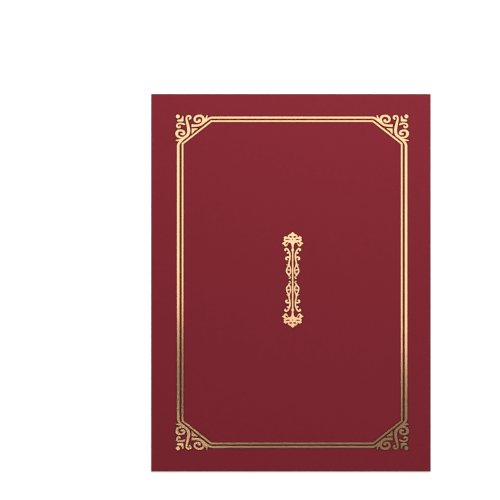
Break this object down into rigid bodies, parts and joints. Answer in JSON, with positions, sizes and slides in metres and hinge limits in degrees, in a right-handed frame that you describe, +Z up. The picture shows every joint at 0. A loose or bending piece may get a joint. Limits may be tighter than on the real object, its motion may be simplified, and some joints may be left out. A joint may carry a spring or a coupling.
{
  "type": "certificate holder",
  "caption": "Folded heavy card cover with a gold foil border and fleuron, and corner slits inside that hold a certificate.",
  "frame": {"origin": "middle of the closed holder's lower face, on the surface that it lies on", "axes": "+X from the fold to the free edge, +Y to the head, +Z up out of the front cover"},
  "size_m": [0.2294, 0.31, 0.0015],
  "materials": {
    "red_card": "matte dyed-through card",
    "gold_foil": "hot-stamped bright foil"
  },
  "bodies": {
    "back": {"back_cover": "red_card", "spine_fold": "red_card"},
    "front": {"front_cover": "red_card", "corner_dot_head_left": "gold_foil", "corner_dot_head_right": "gold_foil", "corner_dot_tail_left": "gold_foil", "corner_dot_tail_right": "gold_foil", "corner_hook_head_left": "gold_foil", "corner_hook_head_right": "gold_foil", "corner_hook_tail_left": "gold_foil", "corner_hook_tail_right": "gold_foil", "corner_leaf_head_left": "gold_foil", "corner_leaf_head_right": "gold_foil", "corner_leaf_tail_left": "gold_foil", "corner_leaf_tail_right": "gold_foil", "corner_wedge_head_left": "gold_foil", "corner_wedge_head_right": "gold_foil", "corner_wedge_tail_left": "gold_foil", "corner_wedge_tail_right": "gold_foil", "fleuron_scroll_head_left": "gold_foil", "fleuron_scroll_head_right": "gold_foil", "fleuron_scroll_tail_left": "gold_foil", "fleuron_scroll_tail_right": "gold_foil", "fleuron_stem": "gold_foil", "rule_head": "gold_foil", "rule_inner": "gold_foil", "rule_left": "gold_foil", "rule_right": "gold_foil", "rule_tail": "gold_foil"}
  },
  "joints": [
    {"name": "cover_hinge", "type": "hinge", "parent": "back", "child": "front", "pos_m": [-0.11475, 0, 0.0007], "axis": [0, -1, 0], "range_deg": [0, 180], "deforming": ["spine_fold"]}
  ]
}
